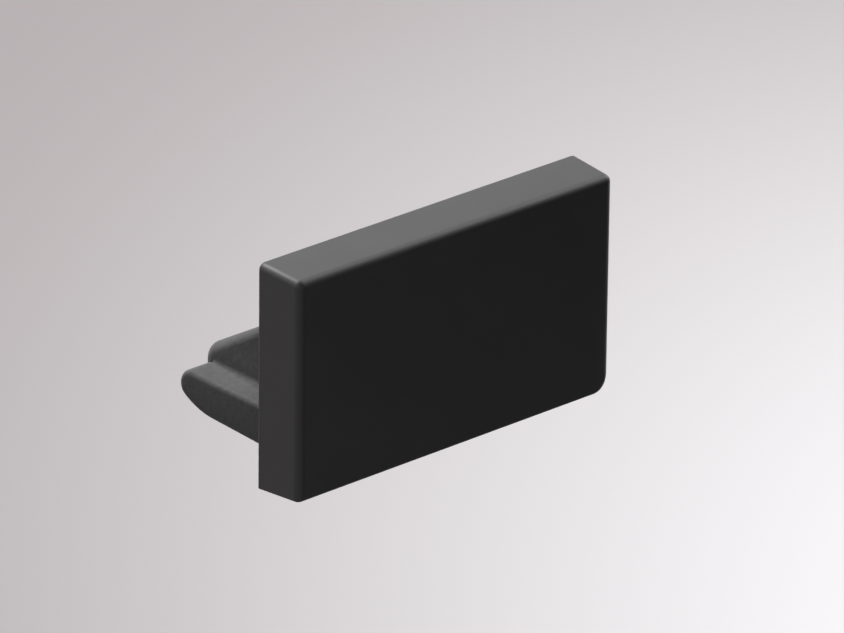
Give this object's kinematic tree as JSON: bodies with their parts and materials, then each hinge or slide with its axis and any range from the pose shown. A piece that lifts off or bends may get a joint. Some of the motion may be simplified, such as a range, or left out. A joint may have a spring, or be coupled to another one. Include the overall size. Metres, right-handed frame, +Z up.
{
  "type": "lighting track end cap",
  "caption": "Moulded black end cap for a lighting track: a rounded rectangular plate with a stepped, ramped plug behind it.",
  "frame": {"origin": "centre of the plate's back face, the plane that seats on the end of the track", "axes": "+X along the plate's width, +Y out of the back face along the plug, +Z up"},
  "size_m": [0.035, 0.018, 0.02],
  "materials": {
    "body": "black moulded plastic, fine satin skin with softly rounded edges"
  },
  "bodies": {
    "root": {"track_cover": "body"}
  },
  "joints": []
}
